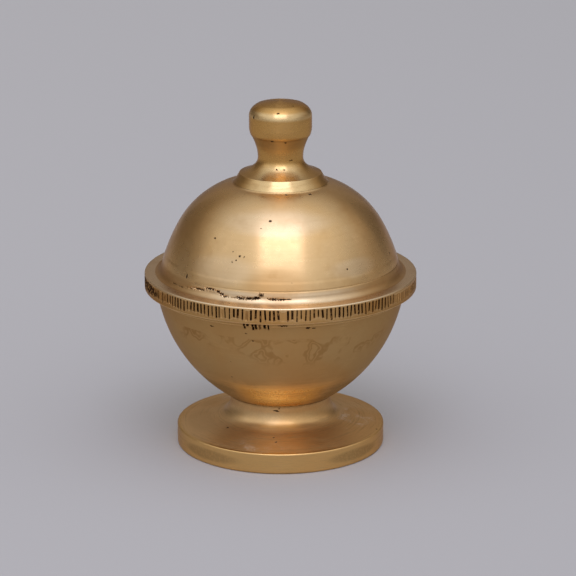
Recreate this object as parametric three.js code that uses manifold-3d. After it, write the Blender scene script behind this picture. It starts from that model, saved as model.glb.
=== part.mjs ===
// A footed brass box for powder: foot, bowl, domed lid with a notched flange, and a knob.
// Millimetres, +Z up. The origin is the middle of the foot's underside.
import * as THREE from 'three';
import { mergeVertices } from 'three/addons/utils/BufferGeometryUtils.js';
import Module from 'manifold-3d';

// Foot: a disc whose top falls to its edge, a cove and a short stem, hollowed a little underneath
const footRadius = 23.1;
const footDiscHeight = 6.1;
const footTopEdgeRound = 0.35;
const footLowEdgeRound = 0.5;
const footTopFall = 1.45;
const stemRadius = 11.2;
const stemCoveRadius = 4.1;
const stemLength = 1.3;
const restRingWidth = 3.6;
const recessDepth = 2.2;
const recessWallDepth = 1.3;
const recessWallLean = 0.8;

// Bowl: one round wall from the flat underside to the rim, with a thin ring at the rim
const bowlBaseRadius = 12.1;
const bowlEdgeBreak = 0.3;
const bowlRimRadius = 27.4;
const bowlHeight = 24.5;
const bowlWallRound = 33.6;
const bowlWall = 2.3;
const bowlFloor = 3.5;
const rimWall = 2.4;
const rimRingHeight = 1.25;
const rimRingProud = 0.45;
const rimRingEdge = 0.15;

// Lid: flange and dome in one, with a spigot that drops into the bowl's mouth
const flangeOverhang = 2.15;
const flangeReach = 3.75;
const flangeThickness = 3.6;
const flangeEdgeRound = 0.3;
const spigotLength = 3.5;
const spigotWall = 1.5;
const spigotClearance = 0.3;
const spigotEndClearance = 0.7;
const spigotLeadIn = 0.4;
const domeCoveRadius = 1.5;
const domeHeight = 23.8;
const domeWall = 2.3;
const domeSideRound = 38.07;
const domeShoulderRound = 20;
const domeShoulderAngle = 29.4;
const crownThickness = 2.4;
const crownSeatMargin = 0.8;

// Notches round the flange's edge
const notchCount = 200;
const notchDepth = 0.45;
const notchWidth = 0.5;
const notchLowMargin = 0.8;
const notchHighMargin = 0.35;

// Knob: collar, neck and head in one
const collarRadius = 10.45;
const collarFlare = 0.7;
const collarFlareHeight = 0.75;
const collarTaper = 0.75;
const collarHeight = 2.1;
const collarSweepRise = 1.2;
const neckRadius = 4.98;
const neckHeight = 5.5;
const neckStraight = 2.2;
const neckFlareHeight = 4.75;
const headRadius = 6.9;
const headLowStep = 0.6;
const headLowRise = 0.25;
const headLowRound = 1.85;
const headSide = 2.8;
const headShoulderLean = 0.15;
const headShoulderHeight = 1.5;
const headCrownInset = 1.9;
const headCrownDrop = 0.7;
const headCrownFlat = 3.2;
const headCrownFall = 0.1;
const headEdgeDrop = 0.9;

// Screws and washers, the same kind at the foot and at the knob
const screwRadius = 1.9;
const screwHoleClearance = 0.3;
const screwHeadRadius = 3.6;
const screwHeadHeight = 2.2;
const screwSlotWidth = 0.9;
const screwSlotDepth = 1.1;
const screwTipBreak = 0.4;
const screwEndClearance = 0.5;
const footScrewGrip = 7;
const knobScrewGrip = 8;
const washerRadius = 5.2;
const washerThickness = 0.8;

// How finely round shapes are divided, and how far a cut runs past what it cuts
const bodySteps = 48;
const knobSteps = 32;
const screwSteps = 24;
const overrun = 0.5;

// Sizes that follow from the ones above
const screwHoleRadius = screwRadius + screwHoleClearance;
const footHeight = footDiscHeight + stemCoveRadius + stemLength;
const mouthRadius = bowlRimRadius - rimWall;
const mouthDepth = spigotLength + spigotEndClearance;
const rimRingRadius = bowlRimRadius + rimRingProud;
const flangeRadius = rimRingRadius + flangeOverhang;
const domeFootRadius = flangeRadius - flangeReach;
const domeFootHeight = flangeThickness + domeCoveRadius;

const finishes = {
  cast: new THREE.MeshStandardMaterial({ color: 0xa67c4a, roughness: 0.36, metalness: 1 }),
  turned: new THREE.MeshStandardMaterial({ color: 0x9c7341, roughness: 0.34, metalness: 1 }),
  fixing: new THREE.MeshStandardMaterial({ color: 0x8f6a3c, roughness: 0.45, metalness: 1 }),
};

const at = (r, z) => new THREE.Vector2(r, z);

// Points on an arc about (r, z), from one angle to another in degrees above the outward direction
function arc(r, z, radius, from, to, steps) {
  return Array.from({ length: steps + 1 }, (_, i) => {
    const angle = THREE.MathUtils.degToRad(from + ((to - from) * i) / steps);
    return at(r + radius * Math.cos(angle), z + radius * Math.sin(angle));
  });
}

// The angle at which an arc about centre z reaches a height
const angleAtHeight = (z, radius, height) => THREE.MathUtils.radToDeg(Math.asin((height - z) / radius));

// The angle at which an arc about centre r reaches a radius
const angleAtRadius = (r, radius, reach) => THREE.MathUtils.radToDeg(Math.acos((reach - r) / radius));

// A turned body: the outline goes round its material and meets itself on the axis or at its start
function turn(outline, steps) {
  const closed = outline[0].x === 0 ? outline : [...outline, outline[0].clone()];
  return new THREE.LatheGeometry(closed, steps).rotateX(Math.PI / 2);
}

function makePiece(name, geometry, material, height) {
  const mesh = new THREE.Mesh(geometry, material);
  mesh.name = name;
  mesh.position.z = height;
  return mesh;
}

const wasm = await Module();
wasm.setup();

function toSolid(geometry) {
  const bare = geometry.clone();
  bare.deleteAttribute('normal');
  bare.deleteAttribute('uv');
  const merged = mergeVertices(bare);
  const vertProperties = new Float32Array(merged.attributes.position.array);
  return new wasm.Manifold(new wasm.Mesh({ numProp: 3, vertProperties, triVerts: new Uint32Array(merged.index.array) }));
}

function toGeometry(solid) {
  const { vertProperties, triVerts } = solid.getMesh();
  const geometry = new THREE.BufferGeometry();
  geometry.setAttribute('position', new THREE.BufferAttribute(vertProperties, 3));
  geometry.setIndex(new THREE.BufferAttribute(triVerts, 1));
  geometry.computeVertexNormals();
  return geometry;
}

const cut = (geometry, cutter) => toGeometry(toSolid(geometry).subtract(toSolid(cutter)));

// Foot, from its underside up. The cove's centre stands off the stem by the cove's radius.
function footGeometry() {
  const coveCentre = stemRadius + stemCoveRadius;
  const coveHeight = footDiscHeight + stemCoveRadius;
  const restInner = footRadius - footLowEdgeRound - restRingWidth;
  const holeBottom = footHeight - footScrewGrip - screwEndClearance;
  return turn([
    at(0, recessDepth),
    at(restInner - recessWallLean, recessWallDepth),
    at(restInner, 0),
    ...arc(footRadius - footLowEdgeRound, footLowEdgeRound, footLowEdgeRound, -90, 0, 2),
    ...arc(footRadius - footTopEdgeRound, footDiscHeight - footTopFall - footTopEdgeRound, footTopEdgeRound, 0, 80, 2),
    ...arc(coveCentre, coveHeight, stemCoveRadius, 259, 180, 6),
    at(stemRadius, footHeight),
    at(screwHoleRadius, footHeight),
    at(screwHoleRadius, holeBottom),
    at(0, holeBottom),
  ], bodySteps);
}

// The bowl's wall is one arc through its base and its rim, and the inside is the same arc less the wall
function bowlArcCentre() {
  const low = at(bowlBaseRadius, bowlEdgeBreak);
  const chord = at(bowlRimRadius, bowlHeight).sub(low);
  const half = chord.length() / 2;
  const inward = at(-chord.y, chord.x).normalize();
  return low.addScaledVector(chord, 1 / 2).addScaledVector(inward, Math.sqrt(bowlWallRound ** 2 - half ** 2));
}

function bowlGeometry() {
  const centre = bowlArcCentre();
  const inside = bowlWallRound - bowlWall;
  const ringLow = bowlHeight - rimRingHeight;
  const ledge = bowlHeight - mouthDepth;
  const outerAngle = (height) => angleAtHeight(centre.y, bowlWallRound, height);
  const innerAngle = (height) => angleAtHeight(centre.y, inside, height);
  return turn([
    at(screwHoleRadius, 0),
    at(bowlBaseRadius - bowlEdgeBreak, 0),
    ...arc(centre.x, centre.y, bowlWallRound, outerAngle(bowlEdgeBreak), outerAngle(ringLow), 9),
    at(rimRingRadius - rimRingEdge, ringLow),
    at(rimRingRadius, ringLow + rimRingEdge),
    at(rimRingRadius, bowlHeight - rimRingEdge),
    at(rimRingRadius - rimRingEdge, bowlHeight),
    at(mouthRadius, bowlHeight),
    at(mouthRadius, ledge),
    ...arc(centre.x, centre.y, inside, innerAngle(ledge), innerAngle(bowlFloor), 8),
    at(screwHoleRadius, bowlFloor),
  ], bodySteps);
}

// The dome is two arcs that share a tangent at the shoulder, from its foot to the collar's edge.
// The top arc's centre lies a shoulder round from the collar's edge, and a side round from the foot
// once the foot is moved outward by the difference of the two rounds.
function domeArcs() {
  const angle = THREE.MathUtils.degToRad(domeShoulderAngle);
  const shift = at(Math.cos(angle), Math.sin(angle)).multiplyScalar(domeSideRound - domeShoulderRound);
  const crown = at(collarRadius, domeHeight);
  const foot = at(domeFootRadius, domeFootHeight).add(shift);
  const span = foot.clone().sub(crown);
  const far = span.length();
  const near = (far ** 2 + domeShoulderRound ** 2 - domeSideRound ** 2) / (2 * far);
  const aside = Math.sqrt(domeShoulderRound ** 2 - near ** 2);
  span.normalize();
  const top = crown.addScaledVector(span, near).addScaledVector(at(span.y, -span.x), aside);
  return { top, side: top.clone().sub(shift) };
}

function lidGeometry() {
  const { side, top } = domeArcs();
  const spigotRadius = mouthRadius - spigotClearance;
  const bore = spigotRadius - spigotWall;
  const crownInside = domeHeight - crownThickness;
  const crownSeat = washerRadius + crownSeatMargin;
  const insideSide = domeSideRound - domeWall;
  const insideTop = domeShoulderRound - domeWall;
  const outline = [
    at(screwHoleRadius, domeHeight),
    at(screwHoleRadius, crownInside),
    at(crownSeat, crownInside),
    ...arc(top.x, top.y, insideTop, angleAtRadius(top.x, insideTop, crownSeat), domeShoulderAngle, 6),
    ...arc(side.x, side.y, insideSide, domeShoulderAngle, angleAtRadius(side.x, insideSide, bore), 2).slice(1),
    at(bore, -spigotLength),
    at(spigotRadius - spigotLeadIn, -spigotLength),
    at(spigotRadius, spigotLeadIn - spigotLength),
    at(spigotRadius, 0),
    ...arc(flangeRadius - flangeEdgeRound, flangeEdgeRound, flangeEdgeRound, -90, 0, 2),
    ...arc(flangeRadius - flangeEdgeRound, flangeThickness - flangeEdgeRound, flangeEdgeRound, 0, 90, 2),
    ...arc(domeFootRadius + domeCoveRadius, domeFootHeight, domeCoveRadius, 270, 180, 3),
    ...arc(side.x, side.y, domeSideRound, angleAtRadius(side.x, domeSideRound, domeFootRadius), domeShoulderAngle, 4),
    ...arc(top.x, top.y, domeShoulderRound, domeShoulderAngle, angleAtRadius(top.x, domeShoulderRound, collarRadius), 6)
      .slice(1),
  ];
  return cut(turn(outline, bodySteps), notchCutters());
}

// One wedge for each notch, its edge towards the axis
function notchCutters() {
  const corners = [];
  const faces = [];
  const mouth = notchWidth * (1 + overrun / notchDepth);
  for (let i = 0; i < notchCount; i += 1) {
    const angle = (i * 2 * Math.PI) / notchCount;
    const outward = new THREE.Vector3(Math.cos(angle), Math.sin(angle), 0);
    const along = new THREE.Vector3(-Math.sin(angle), Math.cos(angle), 0);
    const first = corners.length / 3;
    for (const height of [notchLowMargin, flangeThickness - notchHighMargin]) {
      const up = new THREE.Vector3(0, 0, height);
      const edge = up.clone().addScaledVector(outward, flangeRadius - notchDepth);
      const open = up.clone().addScaledVector(outward, flangeRadius + overrun);
      corners.push(...edge, ...open.clone().addScaledVector(along, -mouth / 2), ...open.addScaledVector(along, mouth / 2));
    }
    const wedge = [0, 2, 1, 3, 4, 5, 0, 1, 4, 0, 4, 3, 1, 2, 5, 1, 5, 4, 2, 0, 3, 2, 3, 5];
    faces.push(...wedge.map((corner) => first + corner));
  }
  const geometry = new THREE.BufferGeometry();
  geometry.setAttribute('position', new THREE.Float32BufferAttribute(corners, 3));
  geometry.setIndex(faces);
  return geometry;
}

// Knob, heights above its seat on the crown: conical collar that flares onto the dome, hollow sweep
// to the neck, flare and head
function knobGeometry() {
  const headLow = neckHeight + neckFlareHeight;
  const headHigh = headLow + headLowRound + headSide;
  const crownEdge = headHigh + headShoulderHeight + headEdgeDrop;
  const top = crownEdge + headCrownDrop;
  const collarLow = collarRadius - collarFlare;
  const path = new THREE.Path();
  path.moveTo(collarRadius, 0);
  path.lineTo(collarLow, collarFlareHeight);
  path.lineTo(collarLow - collarTaper, collarHeight);
  path.quadraticCurveTo(neckRadius, collarHeight + collarSweepRise, neckRadius, neckHeight);
  path.quadraticCurveTo(neckRadius, neckHeight + neckStraight, headRadius - headLowStep, headLow);
  path.quadraticCurveTo(headRadius - headShoulderLean, headLow + headLowRise, headRadius, headLow + headLowRound);
  path.lineTo(headRadius, headHigh);
  path.quadraticCurveTo(
    headRadius - headShoulderLean,
    headHigh + headShoulderHeight,
    headRadius - headCrownInset,
    crownEdge,
  );
  path.quadraticCurveTo(headCrownFlat, top - headCrownFall, 0, top);
  const holeTop = knobScrewGrip + screwEndClearance;
  return turn([
    at(0, holeTop),
    at(screwHoleRadius, holeTop),
    at(screwHoleRadius, 0),
    ...path.getPoints(5),
  ], knobSteps);
}

// Slotted screw, standing on its tip: the grip, then the head with a slot across it
function screwGeometry(length) {
  const headTop = length + screwHeadHeight;
  const body = turn([
    at(0, 0),
    at(screwRadius - screwTipBreak, 0),
    at(screwRadius, screwTipBreak),
    at(screwRadius, length),
    at(screwHeadRadius, length),
    at(screwHeadRadius, headTop - screwTipBreak),
    at(screwHeadRadius - screwTipBreak, headTop),
    at(0, headTop),
  ], screwSteps);
  const slot = new THREE.BoxGeometry(2 * (screwHeadRadius + overrun), screwSlotWidth, screwSlotDepth + overrun);
  slot.translate(0, 0, headTop - screwSlotDepth / 2 + overrun / 2);
  return cut(body, slot);
}

function washerGeometry() {
  return turn([
    at(screwHoleRadius, 0),
    at(washerRadius, 0),
    at(washerRadius, washerThickness),
    at(screwHoleRadius, washerThickness),
  ], screwSteps);
}

const base = new THREE.Group();
const footScrewLength = footScrewGrip + bowlFloor + washerThickness;
base.add(
  makePiece('foot', footGeometry(), finishes.turned, 0),
  makePiece('bowl', bowlGeometry(), finishes.cast, footHeight),
  makePiece('foot_washer', washerGeometry(), finishes.fixing, footHeight + bowlFloor),
  makePiece('foot_screw', screwGeometry(footScrewLength), finishes.fixing, footHeight - footScrewGrip),
);

const cover = new THREE.Group();
cover.position.z = footHeight + bowlHeight;
const knobScrewLength = knobScrewGrip + crownThickness + washerThickness;
const knobScrew = makePiece('knob_screw', screwGeometry(knobScrewLength), finishes.fixing, domeHeight + knobScrewGrip);
knobScrew.rotation.x = Math.PI;
cover.add(
  makePiece('lid', lidGeometry(), finishes.cast, 0),
  makePiece('knob', knobGeometry(), finishes.turned, domeHeight),
  makePiece('knob_washer', washerGeometry(), finishes.fixing, domeHeight - crownThickness - washerThickness),
  knobScrew,
);

const box = new THREE.Group();
box.add(base, cover);

export default box;
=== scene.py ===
"""A small footed brass box for kumkum powder, dressed around its CAD frame.

Sizes are in millimetres, as in the part's source, and every mesh is made in metres. The box stands
on z = 0 and each piece is turned about the Z axis. Azimuth 0 faces the camera, which looks along
+Y, and azimuth grows towards +X.
"""
import logging
import math
from dataclasses import dataclass, field
from enum import Enum

import bpy
import numpy as np
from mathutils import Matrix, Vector


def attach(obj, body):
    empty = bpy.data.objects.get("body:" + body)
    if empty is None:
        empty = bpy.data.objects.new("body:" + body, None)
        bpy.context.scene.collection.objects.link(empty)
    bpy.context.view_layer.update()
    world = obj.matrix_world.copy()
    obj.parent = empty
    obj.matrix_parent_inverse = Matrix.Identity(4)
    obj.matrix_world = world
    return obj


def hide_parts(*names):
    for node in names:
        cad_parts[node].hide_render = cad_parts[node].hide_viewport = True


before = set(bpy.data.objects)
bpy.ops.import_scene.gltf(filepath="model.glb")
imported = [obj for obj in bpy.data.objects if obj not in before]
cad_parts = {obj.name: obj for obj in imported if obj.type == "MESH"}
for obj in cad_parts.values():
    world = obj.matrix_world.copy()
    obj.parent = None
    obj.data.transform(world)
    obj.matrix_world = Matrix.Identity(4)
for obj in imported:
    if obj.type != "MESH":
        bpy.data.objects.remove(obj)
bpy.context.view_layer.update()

log = logging.getLogger("kumkum_box")

MM = 0.001
FULL_TURN = 2 * math.pi
SAME_POINT = 1e-6
CREASE = 32

Colour = tuple[float, float, float]
Point = tuple[float, float]
Patch = tuple[float, float, float, float]
Place = tuple[float, float, float, float, float]


class Body(Enum):
    """The two bodies that pieces ride on."""

    BASE = "base"
    COVER = "cover"


class Slot(Enum):
    """The record's finishes."""

    CAST = "cast_brass"
    TURNED = "turned_brass"
    FIXING = "fixing_brass"


# Outlines


def arc(centre: Point, radius: float, start: float, end: float, steps: int) -> np.ndarray:
    """Points on an arc: centre + radius (cos a, sin a), with a going evenly from start to end.

    Args:
        centre: Radius and height of the arc's centre.
        radius: The arc's own radius.
        start: First angle above the outward direction, in degrees.
        end: Last angle, in degrees.
        steps: Number of equal steps.

    Returns:
        An array of (r, z) rows, steps + 1 long.
    """
    angle = np.radians(np.linspace(start, end, steps + 1))
    return np.stack([centre[0] + radius * np.cos(angle), centre[1] + radius * np.sin(angle)], axis=1)


def line(start: Point, end: Point, steps: int = 1) -> np.ndarray:
    """Points evenly spaced on a straight line from start to end, both included."""
    share = np.linspace(0, 1, steps + 1)[:, None]
    return np.asarray(start) * (1 - share) + np.asarray(end) * share


def bend(start: Point, pull: Point, end: Point, steps: int) -> np.ndarray:
    """Points on a quadratic curve: (1-t)^2 start + 2t(1-t) pull + t^2 end."""
    t = np.linspace(0, 1, steps + 1)[:, None]
    return (1 - t) ** 2 * np.asarray(start) + 2 * t * (1 - t) * np.asarray(pull) + t**2 * np.asarray(end)


def chain(*parts: np.ndarray) -> np.ndarray:
    """Joins runs of points into one outline, leaving out a point that repeats the one before.

    Args:
        parts: Arrays of (r, z) rows, in the outline's order.

    Returns:
        One array of (r, z) rows.
    """
    points = np.concatenate(parts)
    keep = np.ones(len(points), dtype=bool)
    keep[1:] = np.linalg.norm(np.diff(points, axis=0), axis=1) > SAME_POINT
    return points[keep]


def path(start: Point, *legs: tuple[float, float, int]) -> np.ndarray:
    """Straight lines from one point to the next.

    Args:
        start: The first point's radius and height.
        legs: Radius and height of each further point, and the number of equal steps to it.

    Returns:
        An array of (r, z) rows.
    """
    runs = []
    for radius, height, steps in legs:
        runs.append(line(start, (radius, height), steps))
        start = (radius, height)
    return chain(*runs)


def angle_at_height(height: float, centre_height: float, radius: float) -> float:
    """The angle, in degrees, at which an arc reaches a height."""
    return math.degrees(math.asin((height - centre_height) / radius))


def angle_at_radius(reach: float, centre_radius: float, radius: float) -> float:
    """The angle, in degrees, at which an arc reaches a distance from the axis."""
    return math.degrees(math.acos((reach - centre_radius) / radius))


def smooth(value: np.ndarray, low: float, high: float) -> np.ndarray:
    """0 below low, 1 above high, and 3t^2 - 2t^3 between them."""
    t = np.clip((value - low) / (high - low), 0, 1)
    return t * t * (3 - 2 * t)


def fall(value: np.ndarray, low: float, high: float) -> np.ndarray:
    """1 below low, 0 above high, and the same S-curve between them."""
    return smooth(-value, -high, -low)


# Turned meshes


@dataclass
class Band:
    """A grid of points round the axis: its rows follow the outline and its columns go round.

    A row of one column is a pole. Each fact is a share from 0 to 1 at every point: how dirty it is
    and how dark its painted shade (grime_and_shade), how dulled by air and handling and by painted
    shade at its sides (tarnish_and_shade), how far it lies in a stained patch (stain), and how well it
    is polished and how bright its painted highlight (polish_and_highlight).
    """

    points: np.ndarray
    facts: dict[str, np.ndarray] = field(default_factory=dict)

    FACTS = ("grime_and_shade", "tarnish_and_shade", "stain", "polish_and_highlight")

    def __post_init__(self) -> None:
        """Starts the facts that weren't given at 0."""
        for name in self.FACTS:
            self.facts.setdefault(name, np.zeros(self.points.shape[:2]))

    @classmethod
    def turned(cls, outline: np.ndarray, azimuths: np.ndarray | int) -> "Band":
        """Turns an outline: a point (r, z) at azimuth a lies at (r sin a, -r cos a, z).

        Args:
            outline: (r, z) rows.
            azimuths: Number of even columns, or the azimuth of each column in radians, the same in
                every row or with a row of its own for each row of the outline.

        Returns:
            The band, with none of its facts painted.
        """
        if isinstance(azimuths, int):
            azimuths = even_columns(azimuths)
        a = np.broadcast_to(azimuths, (len(outline), azimuths.shape[-1]))
        r, z = outline[:, :1], outline[:, 1:]
        points = np.stack([r * np.sin(a), -r * np.cos(a), z + 0 * a], axis=-1)
        return cls(points)

    @classmethod
    def pole(cls, height: float) -> "Band":
        """A single point on the axis."""
        return cls(np.array([[[0.0, 0.0, height]]]))

    @property
    def azimuth(self) -> np.ndarray:
        """Azimuth of each point, in radians."""
        return np.arctan2(self.points[..., 0], -self.points[..., 1])

    @property
    def height(self) -> np.ndarray:
        """Height of each point."""
        return self.points[..., 2]

    @property
    def radius(self) -> np.ndarray:
        """Distance of each point from the axis."""
        return np.hypot(self.points[..., 0], self.points[..., 1])

    def aside(self, low: float, high: float) -> np.ndarray:
        """0 within low degrees of the front, and 1 past high degrees from it."""
        return smooth(np.abs(np.degrees(self.azimuth)), low, high)

    def paint(self, fact: str, share: float | np.ndarray, *patches: Patch) -> "Band":
        """Raises a fact to a share in soft-edged ellipses, or everywhere if none is given.

        Args:
            fact: Name of the fact.
            share: How much of it there is.
            patches: Azimuth in degrees, height, half the turn in degrees and half the height of each.

        Returns:
            This band.
        """
        reach = np.zeros(self.points.shape[:2]) if patches else np.ones(self.points.shape[:2])
        for azimuth, height, half_turn, half_height in patches:
            turn = (np.degrees(self.azimuth) - azimuth + 180) % 360 - 180
            far = np.hypot(turn / half_turn, (self.height - height) / half_height)
            reach = np.maximum(reach, 1 - smooth(far, 0.55, 1.2))
        self.facts[fact] = np.maximum(self.facts[fact], share * reach)
        return self

    def sink(self, depth: np.ndarray) -> "Band":
        """Moves each point inward along the surface's normal, which is the outline's, turned with it.

        Args:
            depth: How far each point goes in, in millimetres.

        Returns:
            This band.
        """
        along = np.gradient(self.points, axis=0)
        radial = np.stack([np.sin(self.azimuth), -np.cos(self.azimuth)], axis=-1)
        rise, reach = along[..., 2], (along[..., :2] * radial).sum(axis=-1)
        size = np.hypot(rise, reach) + 1e-9
        self.points[..., :2] -= (depth * rise / size)[..., None] * radial
        self.points[..., 2] += depth * reach / size
        return self


def even_columns(count: int) -> np.ndarray:
    """Azimuths of evenly spaced columns, in radians, starting at the back."""
    return np.arange(count) * FULL_TURN / count - math.pi


def join_rows(low: np.ndarray, high: np.ndarray) -> np.ndarray:
    """Faces between two rows of point numbers, the higher one along the outline second.

    The longer row has a whole number of columns for each column of the shorter one, and a face
    holds one column of the shorter row.

    Args:
        low: Point numbers of the first row. A row of one point is a pole.
        high: Point numbers of the second row.

    Returns:
        One row of point numbers for each face, in the order that makes it point outwards.
    """
    count = min(len(low), len(high))
    if count == 1:
        rim = high if len(low) == 1 else low
        tip = np.full(len(rim), (low if len(low) == 1 else high)[0])
        after = np.roll(rim, -1)
        return np.stack([tip, after, rim] if len(low) == 1 else [rim, after, tip], axis=1)
    cells = np.arange(count)[:, None]

    def corners(row: np.ndarray) -> np.ndarray:
        """The points of a row along each face's edge."""
        share = len(row) // count
        return row[(cells * share + np.arange(share + 1)) % len(row)]

    return np.concatenate([corners(low), corners(high)[:, ::-1]], axis=1)


def make_mesh(
    name: str, points: np.ndarray, faces: list[np.ndarray], facts: dict[str, np.ndarray]
) -> bpy.types.Object:
    """Puts points and faces into a new mesh object at the origin, shaded smooth but for sharp edges.

    Args:
        name: Name of the piece.
        points: (x, y, z) rows in millimetres.
        faces: Arrays of point numbers, one row for each face and as many columns as it has corners.
        facts: Numbers kept on each point, by name.

    Returns:
        The new object.
    """
    mesh = bpy.data.meshes.new(name)
    sizes = np.concatenate([np.full(len(f), f.shape[1]) for f in faces])
    corners = np.concatenate([f.ravel() for f in faces])
    mesh.vertices.add(len(points))
    mesh.vertices.foreach_set("co", (points * MM).ravel())
    mesh.loops.add(len(corners))
    mesh.loops.foreach_set("vertex_index", corners.astype(np.int32))
    mesh.polygons.add(len(sizes))
    mesh.polygons.foreach_set("loop_start", (np.cumsum(sizes) - sizes).astype(np.int32))
    mesh.update(calc_edges=True)
    mesh.validate()
    for fact, values in facts.items():
        mesh.attributes.new(fact, "FLOAT", "POINT").data.foreach_set("value", values.astype(np.float32))
    mesh.shade_smooth()
    mesh.set_sharp_from_angle(angle=math.radians(CREASE))
    piece = bpy.data.objects.new(name, mesh)
    bpy.context.scene.collection.objects.link(piece)
    return piece


def turned_piece(name: str, bands: list[Band], closed: bool) -> bpy.types.Object:
    """Joins bands along one outline into a piece.

    The outline runs anticlockwise, up the outer side and down the inner one, so faces point
    outwards. Each point keeps its facts, how far along the outline it lies (run, in millimetres) and
    how much its edge stands proud (wear): the outline's turn per millimetre there.

    Args:
        name: Name of the piece.
        bands: Bands in the outline's order.
        closed: Whether the last band joins the first.

    Returns:
        The piece.
    """
    rows, faces = [], []
    first = 0
    for band in bands:
        height, width = band.points.shape[:2]
        numbers = first + np.arange(height * width).reshape(height, width)
        rows.extend(numbers)
        if height > 1:
            low, high = numbers[:-1], numbers[1:]
            after = np.roll(low, -1, axis=1), np.roll(high, -1, axis=1)
            faces.append(np.stack([low, after[0], after[1], high], axis=-1).reshape(-1, 4))
        first += height * width
    points = np.concatenate([band.points.reshape(-1, 3) for band in bands])
    starts = np.cumsum([0] + [len(band.points) for band in bands])[1:-1]
    faces.extend(join_rows(rows[i - 1], rows[i]) for i in starts)
    if closed:
        faces.append(join_rows(rows[-1], rows[0]))
    profile = np.array([[np.hypot(*points[row, :2].T).mean(), points[row, 2].mean()] for row in rows])
    step = np.diff(profile, axis=0)
    length = np.hypot(*step.T)
    run = np.concatenate([[0], np.cumsum(length)])
    turn = np.zeros(len(rows))
    heading = np.unwrap(np.arctan2(step[:, 1], step[:, 0]))
    turn[1:-1] = np.diff(heading) / np.maximum((length[1:] + length[:-1]) / 2, 0.05)
    spread = np.concatenate([np.full(len(row), i) for i, row in enumerate(rows)])
    facts = {fact: np.concatenate([band.facts[fact].ravel() for band in bands]) for fact in Band.FACTS}
    facts |= {"run": run[spread], "wear": np.clip(turn[spread] * 0.3, 0, 1)}
    return make_mesh(name, points, faces, facts)


def hand_work(band: Band, amount: float, seed: int) -> Band:
    """Gives a turned surface the slight unevenness of hand work.

    The dip is amount x (1 + mean of five waves) / 2, each wave the sine of a whole number of turns
    round the axis plus a number of radians per millimetre of height.

    Args:
        band: The surface.
        amount: Depth of the deepest dip, in millimetres.
        seed: Start of the random draws.

    Returns:
        The same band.
    """
    rng = np.random.default_rng(seed)
    around = rng.integers(1, 6, 5)
    upward = rng.uniform(-0.35, 0.35, 5)
    phase = rng.uniform(0, FULL_TURN, 5)
    waves = [np.sin(n * band.azimuth + k * band.height + p) for n, k, p in zip(around, upward, phase)]
    return band.sink(amount * (1 + np.mean(waves, axis=0)) / 2)


# Shader nodes


class Value:
    """An output socket that can be used in arithmetic."""

    def __init__(self, graph: "Graph", socket: bpy.types.NodeSocket) -> None:
        """Keeps the socket and the graph it belongs to."""
        self.graph = graph
        self.socket = socket

    def __add__(self, other: "Value | float") -> "Value":
        """This value plus another."""
        return self.graph.sum("ADD", self, other)

    __radd__ = __add__

    def __sub__(self, other: "Value | float") -> "Value":
        """This value less another."""
        return self.graph.sum("SUBTRACT", self, other)

    def __rsub__(self, other: float) -> "Value":
        """A number less this value."""
        return self.graph.sum("SUBTRACT", other, self)

    def __mul__(self, other: "Value | float") -> "Value":
        """This value times another."""
        return self.graph.sum("MULTIPLY", self, other)

    __rmul__ = __mul__

    def __truediv__(self, other: "Value | float") -> "Value":
        """This value divided by another."""
        return self.graph.sum("DIVIDE", self, other)

    def least(self, other: "Value | float") -> "Value":
        """The smaller of two values."""
        return self.graph.sum("MINIMUM", self, other)

    def most(self, other: "Value | float") -> "Value":
        """The larger of two values."""
        return self.graph.sum("MAXIMUM", self, other)

    def ramp(self, low: float, high: float, start: float = 0, end: float = 1) -> "Value":
        """start below low, end above high, and an S-curve between them.

        Args:
            low: Where the curve leaves start.
            high: Where it reaches end.
            start: Its value below low.
            end: Its value above high.

        Returns:
            The new value.
        """
        return self.graph.node(
            "ShaderNodeMapRange",
            {"interpolation_type": "SMOOTHSTEP"},
            {"Value": self, "From Min": low, "From Max": high, "To Min": start, "To Max": end},
        )


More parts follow.
